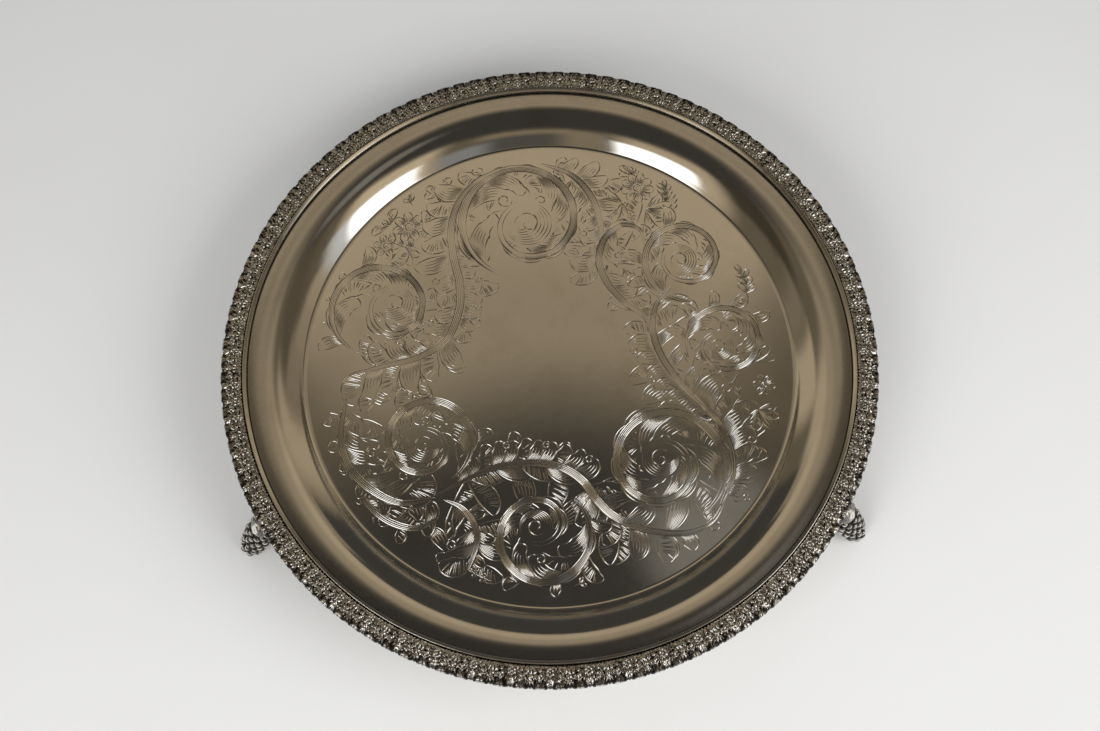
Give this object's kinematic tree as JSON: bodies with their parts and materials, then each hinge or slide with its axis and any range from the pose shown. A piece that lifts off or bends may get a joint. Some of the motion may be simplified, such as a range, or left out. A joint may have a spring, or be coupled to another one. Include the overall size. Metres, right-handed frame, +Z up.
{
  "type": "silver salver",
  "caption": "Round footed salver: flat engraved well, curved bouge, raised ornamental border and three grape-and-leaf feet.",
  "frame": {"origin": "centre of the well, on its upper face", "axes": "+Z up out of the well; +Y towards the single back foot; the front feet stand left and right of -Y"},
  "size_m": [0.3046, 0.3187, 0.0356],
  "materials": {
    "plate_silver": "polished",
    "wire_silver": "gloss",
    "border_silver": "satin",
    "foot_silver": "satin",
    "solder_silver": "satin"
  },
  "bodies": {
    "root": {"plate": "plate_silver", "rim_wire": "wire_silver", "border_half_left": "border_silver", "border_half_right": "border_silver", "foot_back_solder_seat": "solder_silver", "foot_back_vine_leaf": "foot_silver", "foot_back_grape_bunch": "foot_silver", "foot_front_left_solder_seat": "solder_silver", "foot_front_left_vine_leaf": "foot_silver", "foot_front_left_grape_bunch": "foot_silver", "foot_front_right_solder_seat": "solder_silver", "foot_front_right_vine_leaf": "foot_silver", "foot_front_right_grape_bunch": "foot_silver"}
  },
  "joints": []
}
